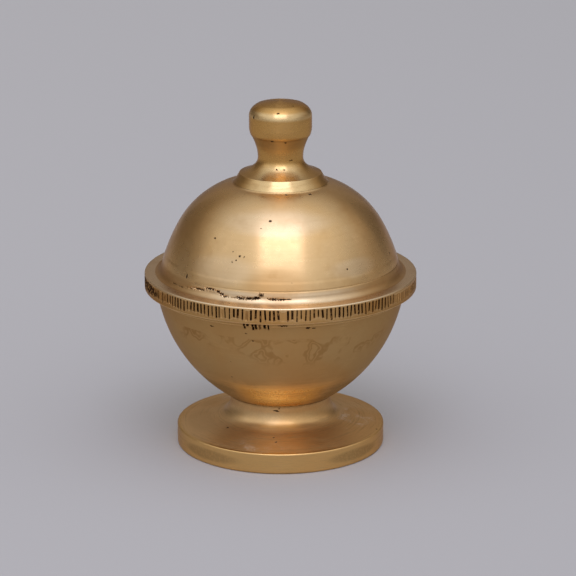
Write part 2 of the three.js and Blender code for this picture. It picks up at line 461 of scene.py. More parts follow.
class Graph:
    """The nodes of one material, world or lamp."""

    def __init__(self, tree: bpy.types.NodeTree) -> None:
        """Empties the tree."""
        self.tree = tree
        tree.nodes.clear()

    def node(
        self, kind: str, settings: dict | None = None, inputs: dict | None = None, output: str | int = 0
    ) -> Value:
        """Adds a node.

        Args:
            kind: The node's type.
            settings: Properties of the node, set first.
            inputs: Numbers, colours or values for its sockets, by name or number.
            output: Which of its outputs is wanted.

        Returns:
            That output, ready for arithmetic.
        """
        made = self.tree.nodes.new(kind)
        for key, setting in (settings or {}).items():
            setattr(made, key, setting)
        for key, given in (inputs or {}).items():
            socket = made.inputs[key]
            if isinstance(given, Value):
                self.tree.links.new(given.socket, socket)
            elif isinstance(given, tuple) and socket.type == "RGBA":
                socket.default_value = (*given, 1)
            else:
                socket.default_value = given
        return Value(self, made.outputs[output] if len(made.outputs) else None)

    def sum(self, operation: str, first: Value | float, second: Value | float) -> Value:
        """Arithmetic on two numbers."""
        return self.node("ShaderNodeMath", {"operation": operation}, {0: first, 1: second})

    def vector(
        self, operation: str, first: Value | tuple, second: Value | tuple, output: str = "Vector"
    ) -> Value:
        """Arithmetic on two vectors."""
        return self.node("ShaderNodeVectorMath", {"operation": operation}, {0: first, 1: second}, output)

    def blend(self, share: Value | float, first: Value | Colour, second: Value | Colour) -> Value:
        """A colour between two: first where share is 0 and second where it is 1."""
        settings = {"data_type": "RGBA", "clamp_factor": True}
        return self.node("ShaderNodeMix", settings, {0: share, 6: first, 7: second}, 2)

    def noise(
        self, place: Value, scale: float, detail: float = 3, rough: float = 0.5, output: str = "Fac"
    ) -> Value:
        """Fractal noise, mostly between 0.3 and 0.7."""
        inputs = {"Vector": place, "Scale": scale, "Detail": detail, "Roughness": rough}
        return self.node("ShaderNodeTexNoise", None, inputs, output)

    def moved(self, place: Value, x: float, y: float, z: float) -> Value:
        """A place shifted, so that a second noise differs from the first."""
        return self.vector("ADD", place, (x, y, z))

    def parts(self, vector: Value) -> tuple[Value, Value, Value]:
        """The three numbers of a vector."""
        split = self.node("ShaderNodeSeparateXYZ", None, {0: vector}).socket.node
        return Value(self, split.outputs[0]), Value(self, split.outputs[1]), Value(self, split.outputs[2])

    def fact(self, name: str) -> Value:
        """A number kept on the mesh's points."""
        return self.node("ShaderNodeAttribute", {"attribute_name": name}, None, "Fac")

    def pack(self, x: Value | float, y: Value | float, z: Value | float) -> Value:
        """A vector from three numbers."""
        return self.node("ShaderNodeCombineXYZ", None, {0: x, 1: y, 2: z})


# Where the marks lie


@dataclass(frozen=True)
class Photograph:
    """The photograph's camera: it looks along +Y and down at the box's axis, from far off.

    Lengths are in millimetres. The picture is 576 pixels each way. A ray is searched from near
    before the axis to near past it, once every step.
    """

    side: int = 576
    pitch: float = 16.44
    distance: float = 596.9
    aim_height: float = 35.37
    focal_pixels: float = 2696.7
    axis_pixel: float = 280.5
    sensor: float = 36.0
    near: float = 60
    step: float = 0.01

    @property
    def eye(self) -> np.ndarray:
        """Where the camera stands.

        Returns:
            Its place (x, y, z) in millimetres.
        """
        pitch = math.radians(self.pitch)
        rise = self.distance * math.sin(pitch)
        return np.array([0, -self.distance * math.cos(pitch), self.aim_height + rise])

    def ray(self, x: float, y: float) -> np.ndarray:
        """Direction through a place in the picture.

        Args:
            x: Pixels from the left.
            y: Pixels from the top.

        Returns:
            A vector of length 1.
        """
        pitch = math.radians(self.pitch)
        ahead = np.array([0, math.cos(pitch), -math.sin(pitch)])
        up = np.array([0, math.sin(pitch), math.cos(pitch)])
        across = (x - self.axis_pixel) / self.focal_pixels
        upward = (self.side / 2 - y) / self.focal_pixels
        way = ahead + across * np.array([1, 0, 0]) + upward * up
        return way / np.linalg.norm(way)

    def find(self, x: float, y: float, outline: np.ndarray) -> np.ndarray:
        """The point of a turned surface that is seen at a place in the picture.

        The ray is followed in short steps until its distance from the axis is less than the
        outline's at that height.

        Args:
            x: Pixels from the left.
            y: Pixels from the top.
            outline: (r, z) rows with z rising.

        Returns:
            The point, in millimetres.
        """
        along = np.arange(self.distance - self.near, self.distance + self.near, self.step)[:, None]
        points = self.eye + along * self.ray(x, y)
        outer = np.interp(points[:, 2], outline[:, 1], outline[:, 0], left=0, right=0)
        return points[np.argmax(np.hypot(points[:, 0], points[:, 1]) < outer)]

    def make_camera(self) -> None:
        """Makes the camera, its picture shifted so that the axis lies where the photograph has it."""
        data = bpy.data.cameras.new("camera")
        data.sensor_width = self.sensor
        data.lens = self.sensor * self.focal_pixels / self.side
        data.shift_x = (self.side / 2 - self.axis_pixel) / self.side
        data.clip_start, data.clip_end = 0.01, 50
        camera = bpy.data.objects.new("camera", data)
        bpy.context.scene.collection.objects.link(camera)
        camera.location = Vector(self.eye) * MM
        camera.rotation_euler = (math.radians(90 - self.pitch), 0, 0)
        bpy.context.scene.camera = camera


@dataclass(frozen=True)
class Pit:
    """A small dark hole or speck, seen x pixels from the photograph's left and y from its top.

    Half its width and half its height are in millimetres.
    """

    x: float
    y: float
    half_width: float = 0.22
    half_height: float = 0.2


# Finishes


@dataclass(frozen=True)
class Brass:
    """Brass as turned or filed by hand: satin, with fine lines round the axis, dirty hollows, painted shade
    and painted highlights.

    Colours are linear, lengths are in millimetres, and the rest are shares or roughnesses. Clean
    metal drifts from clean to warm over patch_share of it. Dulled metal, tarnished and where shade is
    painted, is dull, and in clouds dull times aging. Polished metal and painted highlights are bright,
    and smoother by gloss. Edge tints what is seen at a low angle, soot_and_shade fills pits, grime
    and painted shade, and mark colours the stains. Ragged breaks up the grime_and_shade, and
    line_dirt puts some in the turning lines. Each pit is a place (x, y, z) with half its width and
    half its height.
    """

    name: str
    clean: Colour = (0.80, 0.52, 0.22)
    warm: Colour = (0.80, 0.46, 0.16)
    dull: Colour = (0.58, 0.36, 0.16)
    aging: Colour = (0.95, 0.86, 0.72)
    # bright: colour of polished metal and of painted highlights
    bright: Colour = (0.86, 0.61, 0.27)
    edge: Colour = (0.72, 0.64, 0.60)
    # soot_and_shade: colour of dirt and of painted shade
    soot_and_shade: Colour = (0.058, 0.023, 0.010)
    shine: float = 0.30
    gloss: float = 0.5
    dull_roughness: float = 0.48
    dirt_roughness: float = 0.75
    brushing: float = 0.72
    line_depth: float = 0.0016
    streaks: float = 1.0
    line_dirt: float = 0.0
    ragged: float = 0.0
    mark: Colour = (0.36, 0.175, 0.045)
    patch_share: float = 0.5
    dull_share: float = 0.25
    pitting: float = 0.5
    pits: tuple[Place, ...] = ()

    def make(self) -> bpy.types.Material:
        """Builds the material.

        Dullness is tarnish_and_shade, uneven patches and streaks along the turning lines, less where an
        edge is rubbed. It mixes the colours and raises the roughness. Polish_and_highlight, polish and
        painted highlights, turns the colour to bright and lowers the roughness by gloss. Dirt_and_shade,
        dirt and painted shade, is the most of grime_and_shade, dirty lines, small random holes and the
        pits, and covers the colour with soot_and_shade. The stains are two contour lines of one noise,
        1 - (24 (n - 0.5))^2 and 1 - (30 (n - 0.58))^2 where above 0.

        Returns:
            The material.
        """
        material = bpy.data.materials.new(self.name)
        material.use_nodes = True
        g = Graph(material.node_tree)
        place = g.node("ShaderNodeTexCoord", output="Object")
        x, y, _ = g.parts(place)
        reach = g.sum("SQRT", x * x + y * y, 0)
        run, wear, grime_and_shade, tarnish_and_shade, stain, polish_and_highlight = (g.fact(name) for name in ("run", "wear", *Band.FACTS))

        ring = g.pack(run, x / reach * 1.2, y / reach * 1.2)
        fine = g.noise(ring, 7.0, 2, 0.6)
        coarse = g.noise(g.moved(ring, 31.0, 5.0, 2.0), 1.6, 3, 0.65)
        cloud = g.noise(place, 55, 3, 0.55)
        patch = g.noise(g.moved(place, 0.4, 0.1, 0.7), 130, 4, 0.6)
        speck = g.noise(place, 900, 2, 0.5)

        streak = (coarse.ramp(0.46, 0.70) * 0.22 + fine.ramp(0.5, 0.75) * 0.10) * self.streaks
        rub_and_highlight = wear.ramp(0.15, 0.9)
        dullness = tarnish_and_shade * (0.7 + patch * 0.6) + patch.ramp(0.50, 0.72) * self.dull_share + streak
        dullness = (dullness * (1 - rub_and_highlight * 0.8)).least(1)
        colour = g.blend(cloud.ramp(0.42, 0.66) * self.patch_share, self.clean, self.warm)
        old = tuple(part * share for part, share in zip(self.dull, self.aging))
        aged = g.blend(cloud.ramp(0.40, 0.62), self.dull, old)
        # Painted highlights take the bright colour, and painted shade takes the dull one.
        colour = g.blend(dullness, g.blend(polish_and_highlight, colour, self.bright), aged)
        rough = self.shine + dullness * (self.dull_roughness - self.shine) + speck.ramp(0.35, 0.7) * 0.04
        rough = rough * (1 - polish_and_highlight * self.gloss)
        height = fine * self.line_depth + coarse * (self.line_depth * 2.2) + speck * (self.line_depth * 0.8)

        marks = g.noise(g.moved(place, 0.9, 0.3, 0.2), 210, 2, 0.5)
        first, second = (marks - 0.5) * 24, (marks - 0.58) * 30
        ripple = (1 - first * first).most(1 - second * second).most(0) * patch.ramp(0.40, 0.56) * stain
        colour = g.blend(ripple * 0.55, colour, self.mark)
        rough = rough + ripple * 0.05

        crumble = g.noise(g.moved(place, 0.2, 0.8, 0.5), 2300, 2, 0.6)
        # dirt_and_shade: dirt, plus shade painted in creases, under parts and at the sides, darkening the
        # colour to soot_and_shade.
        dirt_and_shade = (grime_and_shade * (1 - self.ragged) + grime_and_shade * crumble.ramp(0.32, 0.60) * self.ragged).ramp(0.05, 0.62)
        if self.line_dirt:
            worn_lines = coarse.ramp(0.50, 0.68) * 0.6 + fine.ramp(0.52, 0.72) * 0.5
            dirt_and_shade = dirt_and_shade.most(worn_lines * self.line_dirt)
        if self.pitting:
            inputs = {"Vector": place, "Scale": 420.0, "Randomness": 1.0}
            cell = g.node("ShaderNodeTexVoronoi", None, inputs, "Distance")
            cell_colour = Value(g, cell.socket.node.outputs["Color"])
            pick = g.node("ShaderNodeSeparateColor", None, {0: cell_colour}, 0)
            chosen = (pick + cloud * 0.5 - (1.27 - 0.1 * self.pitting)).ramp(0, 0.02)
            hole = (1 - cell.ramp(0.05, 0.11)) * chosen
            dirt_and_shade = dirt_and_shade.most(hole * 0.9)
            height = height - hole * 0.05
        if self.pits:
            shaken = g.vector("SUBTRACT", g.noise(place, 2600, 2, 0.6, "Color"), (0.5, 0.5, 0.5))
            near = g.vector("ADD", place, g.vector("MULTIPLY", shaken, (0.7 * MM,) * 3))
            closest = None
            for px, py, pz, half_width, half_height in self.pits:
                off = g.vector("SUBTRACT", near, (px * MM, py * MM, pz * MM))
                scale = (1 / (half_width * MM), 1 / (half_width * MM), 1 / (half_height * MM))
                far = g.vector("LENGTH", g.vector("MULTIPLY", off, scale), (0, 0, 0), "Value")
                closest = far if closest is None else closest.least(far)
            hole = 1 - closest.ramp(0.75, 1.25)
            dirt_and_shade = dirt_and_shade.most(hole)
            height = height - hole * 0.08

        relief = {"Strength": 1.0, "Distance": MM, "Height": height}
        shader = g.node(
            "ShaderNodeBsdfPrincipled",
            None,
            {
                "Base Color": g.blend(dirt_and_shade, colour, self.soot_and_shade),
                "Metallic": 1.0,
                "Roughness": rough + dirt_and_shade * (self.dirt_roughness - self.shine),
                "Normal": g.node("ShaderNodeBump", None, relief, "Normal"),
                "Specular Tint": self.edge,
                "Anisotropic": self.brushing,
                "Anisotropic Rotation": 0.25,
            },
        )
        g.node("ShaderNodeOutputMaterial", None, {"Surface": shader})
        return material


# The pieces


@dataclass
class NotchRow:
    """Cuts made one by one round an edge, each a little different.

    Azimuths are in degrees. Each cut has six columns: the middle of the land before it, its two lips
    and three points on its floor.
    """

    count: int
    azimuth: np.ndarray
    half_width: np.ndarray
    depth: np.ndarray
    low: np.ndarray
    high: np.ndarray
    lean: np.ndarray
    grime_and_shade: np.ndarray

    def spread(self, of_cut: np.ndarray) -> np.ndarray:
        """Gives each cut's number to its six columns; the land between takes the mean of its neighbours."""
        land = (of_cut + np.roll(of_cut, 1)) / 2
        return np.stack([land] + [of_cut] * 5, axis=1).ravel()

    def columns(self) -> np.ndarray:
        """The columns of every cut: its middle, plus or minus its half width at the lips.

        Returns:
            The azimuth of each column, in radians.
        """
        before = np.roll(self.azimuth, 1)
        before[0] -= 360
        land = (self.azimuth + before) / 2
        lips = [self.azimuth + share * self.half_width for share in (-1.15, -0.72, 0, 0.72, 1.15)]
        return np.radians(np.stack([land] + lips, axis=1).ravel())

    def floor(self) -> np.ndarray:
        """Share of the full depth at each column: none at the land and the lips."""
        return np.tile([0, 0, 0.85, 1, 0.85, 0], self.count)


@dataclass
class Foot:
    """The turned foot: a disc, a cove and a short stem, hollowed a little underneath."""

    radius: float = 23.1
    disc_height: float = 6.1
    top_edge_round: float = 0.35
    low_edge_round: float = 0.5
    top_fall: float = 1.45
    stem_radius: float = 11.2
    cove_radius: float = 4.1
    stem_length: float = 1.3
    rest_ring_width: float = 3.6
    recess_depth: float = 2.2
    recess_wall_depth: float = 1.3
    recess_wall_lean: float = 0.8
    screw_hole: float = 2.2
    hole_bottom: float = 4.0
    columns: int = 360

    PITS = (
        Pit(279, 408.4, 0.2, 0.15),
        Pit(276.5, 411.2, 0.7, 0.14),
        Pit(228, 427.5, 0.3, 0.2),
        Pit(273.5, 437.5, 0.2, 0.15),
        Pit(276, 442, 0.22, 0.15),
    )

    @property
    def height(self) -> float:
        """Height of the stem's top."""
        return self.disc_height + self.cove_radius + self.stem_length

    def outline(self) -> np.ndarray:
        """The outer side, from the resting ring to the stem's top.

        Returns:
            An array of (r, z) rows.
        """
        edge = self.radius - self.low_edge_round
        top = self.disc_height - self.top_fall
        shoulder = self.radius - self.top_edge_round
        cove = (self.stem_radius + self.cove_radius, self.disc_height + self.cove_radius)
        cove_foot = arc(cove, self.cove_radius, 259, 259, 1)[0]
        return chain(
            arc((edge, self.low_edge_round), self.low_edge_round, -90, 0, 5),
            line((self.radius, self.low_edge_round), (self.radius, top - self.top_edge_round), 12),
            arc((shoulder, top - self.top_edge_round), self.top_edge_round, 0, 84, 6),
            line((shoulder + 0.04, top), cove_foot, 20),
            arc(cove, self.cove_radius, 258, 180, 30),
            line((self.stem_radius, cove[1]), (self.stem_radius, self.height - 0.12), 2),
            line((self.stem_radius, self.height - 0.12), (self.stem_radius - 0.12, self.height)),
        )

    def dress(self, outer: Band) -> Band:
        """Dulls the disc's top, polishes the cove, paints shade under the bowl, darkens patches and leaves
        scuffs on the disc.

        Args:
            outer: The outer side.

        Returns:
            The same band.
        """
        above = outer.height > 3
        inside = smooth(self.radius - outer.radius, 0.2, 0.9)
        outer.paint("tarnish_and_shade", 0.95 * inside * above)
        outer.paint("polish_and_highlight", fall(outer.radius, 12.3, 13.2) * above)
        # Painted shade on the stem and the top of the cove, under the bowl's overhang.
        outer.paint("grime_and_shade", 0.2 * fall(outer.radius, 11.5, 12.3) * above)
        # Painted shade in the crease where the stem meets the bowl.
        outer.paint("grime_and_shade", 0.35 * smooth(outer.height, self.height - 0.45, self.height - 0.1))
        # Darker patches on the foot's side and the disc's top.
        outer.paint("grime_and_shade", 0.28, (-44, 2.3, 26, 1.6), (46, 2.3, 24, 1.6), (150, 2, 40, 2))
        outer.paint("grime_and_shade", 0.16, (-127, 5.4, 22, 0.5), (-80, 5.5, 32, 0.7), (160, 5.4, 30, 0.5))
        return outer.paint("stain", 1.0, (82, 5.8, 24, 0.8), (-15, 5.2, 20, 0.5), (-160, 5.6, 30, 0.7))

    def build(self) -> bpy.types.Object:
        """Builds the foot, with the hollow under it and the screw's hole.

        Returns:
            The piece.
        """
        ring_outer = self.radius - self.low_edge_round
        ring_inner = ring_outer - self.rest_ring_width
        under = path(
            (0.6, self.recess_depth),
            (ring_inner - self.recess_wall_lean, self.recess_wall_depth, 24),
            (ring_inner - 0.1, 0.12, 3),
            (ring_inner, 0, 1),
            (ring_outer, 0, 4),
        )
        outer = hand_work(Band.turned(self.outline()[1:], self.columns), 0.03, 11)
        bore = path(
            (self.screw_hole, self.height), (self.screw_hole, self.hole_bottom, 6), (0.4, self.hole_bottom, 2)
        )
        bands = [
            Band.pole(self.recess_depth),
            Band.turned(under, self.columns),
            self.dress(outer),
            Band.turned(bore, 60),
            Band.pole(self.hole_bottom),
        ]
        return turned_piece("turned_foot", bands, closed=False)

    def finish(self, pits: tuple[Place, ...]) -> Brass:
        """Turned brass with coarse, dirty lines and whitish scuffs.

        Args:
            pits: The foot's pits, placed on the box.

        Returns:
            The finish.
        """
        return Brass(
            "turned_brass_foot",
            clean=(0.76, 0.47, 0.175),
            bright=(0.76, 0.48, 0.18),
            gloss=0.35,
            line_dirt=0.22,
            ragged=0.15,
            mark=(0.95, 0.80, 0.62),
            dull=(0.76, 0.50, 0.23),
            dull_roughness=0.48,
            brushing=0.25,
            line_depth=0.003,
            pits=pits,
        )


@dataclass
class Bowl:
    """The round-sided bowl with a thin ring at its rim."""

    foot_height: float = 11.5
    base_radius: float = 12.1
    edge_break: float = 0.3
    rim_radius: float = 27.4
    height: float = 24.5
    wall_round: float = 33.6
    wall: float = 2.3
    floor: float = 3.5
    rim_wall: float = 2.4
    ring_height: float = 1.25
    ring_proud: float = 0.45
    ring_edge: float = 0.15
    mouth_depth: float = 4.2
    screw_hole: float = 2.2
    columns: int = 400
    chatter_first: float = -17.0
    chatter_last: float = -4.8

    PITS = (
        Pit(232, 377, 0.2, 0.15),
        Pit(231, 362, 0.15, 0.12),
        Pit(253, 341, 0.18, 0.15),
        Pit(283, 326, 1.0, 0.12),
        Pit(308, 328, 0.5, 0.22),
        Pit(314, 328, 0.35, 0.15),
        Pit(212, 326, 0.5, 0.12),
        Pit(246, 333.5, 0.3, 0.1),
    )

    @property
    def rim_height(self) -> float:
        """Height of the rim above the table."""
        return self.foot_height + self.height

    @property
    def mouth_radius(self) -> float:
        """Radius of the mouth that the lid's spigot drops into."""
        return self.rim_radius - self.rim_wall

    @property
    def ring_low(self) -> float:
        """Height of the ring's lower edge."""
        return self.rim_height - self.ring_height

    @property
    def ring_radius(self) -> float:
        """Radius of the ring at the rim."""
        return self.rim_radius + self.ring_proud

    def centre(self) -> Point:
        """The centre of the wall's arc, which passes through the base's edge and the rim.

        Returns:
            Its radius and height.
        """
        low = np.array([self.base_radius, self.foot_height + self.edge_break])
        chord = np.array([self.rim_radius, self.rim_height]) - low
        length = np.linalg.norm(chord)
        inward = np.array([-chord[1], chord[0]]) / length
        middle = low + chord / 2 + inward * math.sqrt(self.wall_round**2 - (length / 2) ** 2)
        return float(middle[0]), float(middle[1])

    def wall_arc(self, low: float, high: float, steps: int, inset: float = 0) -> np.ndarray:
        """The wall between two heights.

        Args:
            low: Height of the first point.
            high: Height of the last point.
            steps: Number of equal steps.
            inset: How far it is moved in, towards the arc's centre.

        Returns:
            An array of (r, z) rows.
        """
        centre = self.centre()
        radius = self.wall_round - inset
        first, last = (angle_at_height(height, centre[1], radius) for height in (low, high))
        return arc(centre, radius, first, last, steps)

    def low_side(self, end: float, steps: int) -> np.ndarray:
        """The base's broken edge, and the wall over it.

        Args:
            end: Height of the last point.
            steps: Number of steps up the wall.

        Returns:
            An array of (r, z) rows.
        """
        edge = self.foot_height + self.edge_break
        return chain(
            path((self.base_radius - self.edge_break, self.foot_height), (self.base_radius, edge, 2)),
            self.wall_arc(edge, end, steps),
        )

    def ring_side(self) -> np.ndarray:
        """The ring's outer side, with both its edges broken.

        Returns:
            An array of (r, z) rows.
        """
        ring, edge = self.ring_radius, self.ring_edge
        return path(
            (ring - edge, self.ring_low),
            (ring, self.ring_low + edge, 2),
            (ring, self.rim_height - edge, 6),
            (ring - edge, self.rim_height, 2),
        )

    def outline(self) -> np.ndarray:
        """The outer side, from the flat underside's edge to the rim."""
        return chain(self.low_side(self.ring_low, 60), self.ring_side())

    def chatter(self) -> NotchRow:
        """Short cuts in the ring under the flange, where the notching tool ran on into the bowl.

        Returns:
            A row of cuts, most of which have no depth.
        """
        rng = np.random.default_rng(5)
        count = 200
        azimuth = np.arange(count) * 360 / count - 180
        cut = (azimuth > self.chatter_first) & (azimuth < self.chatter_last)
        extra = (rng.random(count) < 0.06) & (abs(azimuth) > 40)
        deep = rng.uniform(0.2, 0.42, count)
        slight = rng.uniform(0.05, 0.2, count)
        depth = np.where(cut, deep, np.where(extra, slight, 0))
        return NotchRow(
            count=count,
            azimuth=azimuth + rng.uniform(-0.35, 0.35, count),
            half_width=rng.uniform(0.25, 0.62, count),
            depth=depth,
            low=self.rim_height - rng.uniform(1.1, 2.1, count),
            high=self.rim_height - rng.uniform(0.3, 0.8, count),
            lean=rng.uniform(-0.1, 0.1, count),
            grime_and_shade=np.where(depth > 0.25, 1.0, depth * 2),
        )

    def upper_wall(self) -> Band:
        """The wall's last 3 mm and the ring, with the short cuts in them and painted shade under the ring.

        The depth at a point is its cut's depth, times the column's share, times a share that rises
        and falls over 0.1 mm at the cut's two ends.

        Returns:
            The band, up to the rim.
        """
        cuts = self.chatter()
        outline = chain(self.wall_arc(self.ring_low - 3, self.ring_low, 12), self.ring_side())
        band = Band.turned(outline, cuts.columns())
        low, high = cuts.spread(cuts.low), cuts.spread(cuts.high)
        share = smooth(band.height - low, -0.05, 0.05) * smooth(high - band.height, -0.05, 0.05)
        share = share * cuts.floor()
        band.paint("grime_and_shade", share * cuts.spread(cuts.grime_and_shade)).paint("tarnish_and_shade", 1.0)
        # Painted shade: a dark line under the ring.
        under_ring = np.exp(-(((band.height - self.ring_low + 0.1) / 0.14) ** 2))
        band.paint("grime_and_shade", 0.4 * under_ring * (0.6 + 0.4 * np.sin(3 * band.azimuth + 1)))
        return band.sink(share * cuts.spread(cuts.depth))

    def dress(self, band: Band) -> Band:
        """Dulls the upper wall, paints shade at its sides and in the crease at its base and a reflection of
        the foot low in front, and stains it in patches.

        Args:
            band: The wall below the ring.

        Returns:
            The same band.
        """
        base = self.foot_height
        # Painted shade at the sides; the lowest part in front takes a painted reflection of the foot.
        dulled_and_shaded = np.maximum(smooth(band.height, base + 5.4, base + 9.4), 0.85 * band.aside(15, 46))
        band.paint("tarnish_and_shade", dulled_and_shaded).paint("polish_and_highlight", 1 - dulled_and_shaded)
        # Painted shade on the lower wall's sides.
        band.paint("grime_and_shade", 0.27 * fall(band.height, base + 5.0, base + 8.5) * band.aside(15, 42))
        # Painted shade in the crease over the foot.
        band.paint("grime_and_shade", 0.4 * fall(band.height, base + 0.25, base + 0.75))
        stains = ((12, 30.0, 50, 5.0), (-40, 31, 24, 3), (-150, 29, 40, 4), (118, 27, 36, 5))
        return band.paint("stain", 1.0, *stains)

    def build(self) -> bpy.types.Object:
        """Builds the bowl: its underside, its outer side up to the rim, and its mouth and inside.

        Returns:
            The piece.
        """
        floor = self.foot_height + self.floor
        mouth = path(
            (self.ring_radius - self.ring_edge - 0.2, self.rim_height),
            (self.mouth_radius + 0.15, self.rim_height, 3),
            (self.mouth_radius, self.rim_height - 0.15, 1),
            (self.mouth_radius, self.rim_height - self.mouth_depth, 6),
        )
        inner_wall = self.wall_arc(self.rim_height - self.mouth_depth, floor + 0.3, 44, self.wall)
        corner = inner_wall[-1][0]
        inside = chain(
            mouth,
            inner_wall,
            bend((corner, floor + 0.3), (corner - 0.5, floor), (corner - 1.4, floor), 4),
            path((corner - 1.4, floor), (self.screw_hole, floor, 10)),
        )
        under = path(
            (self.screw_hole, self.foot_height),
            (self.base_radius - self.edge_break - 0.1, self.foot_height, 6),
        )
        outer = Band.turned(self.low_side(self.ring_low - 3.2, 52), self.columns)
        bands = [
            Band.turned(under, 200),
            hand_work(self.dress(outer), 0.05, 3),
            self.upper_wall(),
            hand_work(Band.turned(inside, 200), 0.05, 8),
        ]
        return turned_piece("cast_bowl", bands, closed=True)

    def finish(self, pits: tuple[Place, ...]) -> Brass:
        """Cast brass, dulled by the hand and by painted shade at its sides, with a painted reflection where
        it faces the foot.

        Args:
            pits: The bowl's pits, placed on the box.

        Returns:
            The finish.
        """
        return Brass(
            "cast_brass_bowl",
            dull=(0.55, 0.34, 0.135),
            aging=(1.0, 0.93, 0.84),
            # Colour of the painted reflection of the foot.
            bright=(1.0, 0.72, 0.31),
            ragged=0.25,
            gloss=0.2,
            pits=pits,
            pitting=0.8,
            dull_share=0.35,
        )


@dataclass
class Lid:
    """The lid in one casting: dome, flange with its cut notches, and the spigot under it."""

    seat_height: float = 36.0
    flange_radius: float = 30.0
    flange_reach: float = 3.75
    flange_thickness: float = 3.6
    edge_round: float = 0.3
    spigot_length: float = 3.5
    spigot_radius: float = 24.7
    spigot_wall: float = 1.5
    spigot_lead_in: float = 0.4
    cove_radius: float = 1.5
    dome_height: float = 23.8
    dome_wall: float = 2.3
    side_round: float = 38.07
    shoulder_round: float = 20.0
    shoulder_angle: float = 29.4
    crown_thickness: float = 2.4
    crown_seat: float = 6.0
    collar_radius: float = 10.45
    collar_sink: float = 0.15
    collar_sink_reach: float = 0.5
    screw_hole: float = 2.2
    groove_height: float = 42.1
    groove_depth: float = 0.08
    notch_count: int = 200
    notch_depth: float = 0.42
    dome_start: float = 43.9
    fine_columns: int = 1200
    columns: int = 400

    PITS = (
        Pit(270.4, 221.2, 0.3, 0.3),
        Pit(215, 238),
        Pit(233, 252, 0.15, 0.15),
        Pit(239.5, 256.5, 0.22, 0.18),
        Pit(244.5, 257, 0.14, 0.16),
        Pit(236, 260.5, 0.14, 0.12),
        Pit(232, 262, 0.16, 0.14),
        Pit(286.5, 194.5, 0.4, 0.16),
        Pit(310.5, 194, 0.5, 0.2),
        Pit(261, 228.5, 0.12, 0.12),
        Pit(229.2, 303.3, 0.2, 0.2),
        Pit(187, 276, 0.22, 0.7),
    )

    # Casting holes along the cove: azimuth in degrees, height, half length, half height, depth
    COVE_MARKS = (
        (-60.0, 40.3, 1.8, 0.10, 0.12),
        (-53.5, 40.3, 1.7, 0.10, 0.14),
        (-47.0, 40.6, 1.6, 0.12, 0.16),
        (-44.0, 41.8, 2.4, 0.40, 0.06),
        (-41.5, 40.95, 1.9, 0.22, 0.35),
        (-34.8, 41.5, 1.4, 0.20, 0.30),
        (-30.5, 41.25, 0.6, 0.28, 0.30),
        (-28.4, 40.85, 0.6, 0.25, 0.32),
        (-26.3, 40.5, 0.8, 0.16, 0.25),
        (-22.5, 40.4, 1.0, 0.10, 0.14),
        (-18.3, 40.5, 1.4, 0.28, 0.30),
        (-14.2, 40.6, 1.3, 0.22, 0.36),
        (-11.0, 40.75, 0.8, 0.28, 0.40),
        (-9.1, 41.4, 0.5, 0.28, 0.30),
        (-3.0, 40.6, 1.2, 0.20, 0.36),
        (0.5, 40.6, 1.2, 0.16, 0.30),
        (3.4, 40.6, 0.9, 0.12, 0.20),
        (118.0, 40.7, 1.6, 0.25, 0.3),
        (141.0, 41.2, 1.0, 0.2, 0.3),
        (-150.0, 40.6, 2.0, 0.25, 0.3),
    )

    @property
    def dome_foot(self) -> float:
        """Radius of the dome's foot."""
        return self.flange_radius - self.flange_reach

    @property
    def flange_top(self) -> float:
        """Height of the flange's top."""
        return self.seat_height + self.flange_thickness

    @property
    def cove_foot(self) -> float:
        """Radius at which the cove meets the flange's top, and of the cove's centre."""
        return self.dome_foot + self.cove_radius

    def dome_centres(self) -> tuple[np.ndarray, np.ndarray]:
        """The centres of the dome's side and shoulder arcs, which share a tangent at the shoulder.

        They are where two circles meet, one about the crown's edge with the shoulder's radius, and
        one about the dome's foot, shifted, with the side's radius.

        Returns:
            Radius and height of the side arc's centre, and of the shoulder arc's.
        """
        angle = math.radians(self.shoulder_angle)
        shift = (self.side_round - self.shoulder_round) * np.array([math.cos(angle), math.sin(angle)])
        crown = np.array([self.collar_radius, self.seat_height + self.dome_height])
        foot = np.array([self.dome_foot, self.flange_top + self.cove_radius]) + shift
        span = foot - crown
        far = np.linalg.norm(span)
        near = (far**2 + self.shoulder_round**2 - self.side_round**2) / (2 * far)
        aside = math.sqrt(self.shoulder_round**2 - near**2)
        way = span / far
        top = crown + way * near + aside * np.array([way[1], -way[0]])
        return top - shift, top

    def dome_radius(self, height: np.ndarray) -> np.ndarray:
        """Radius of the dome: the side arc's up to the shoulder, then the shoulder arc's.

        Args:
            height: Heights above the table.

        Returns:
            The radius at each height.
        """
        side, top = self.dome_centres()
        shoulder = side[1] + self.side_round * math.sin(math.radians(self.shoulder_angle))
        low = side[0] + np.sqrt(np.maximum(self.side_round**2 - (height - side[1]) ** 2, 0))
        high = top[0] + np.sqrt(np.maximum(self.shoulder_round**2 - (height - top[1]) ** 2, 0))
        return np.where(height < shoulder, low, high)

    def dome(self, start: float, steps: int, shoulder_steps: int) -> np.ndarray:
        """The dome's outer side from a height up to the collar, with closer steps near the collar.

        Args:
            start: Height of the first point.
            steps: Number of steps up the side.
            shoulder_steps: Number of steps over the shoulder.

        Returns:
            An array of (r, z) rows.
        """
        side, top = self.dome_centres()
        low = angle_at_height(start, side[1], self.side_round)
        near = angle_at_radius(self.collar_radius + 2.4, top[0], self.shoulder_round)
        last = angle_at_radius(self.collar_radius, top[0], self.shoulder_round)
        return chain(
            arc(tuple(side), self.side_round, low, self.shoulder_angle, steps),
            arc(tuple(top), self.shoulder_round, self.shoulder_angle, near, shoulder_steps),
            arc(tuple(top), self.shoulder_round, near, last, 20),
        )

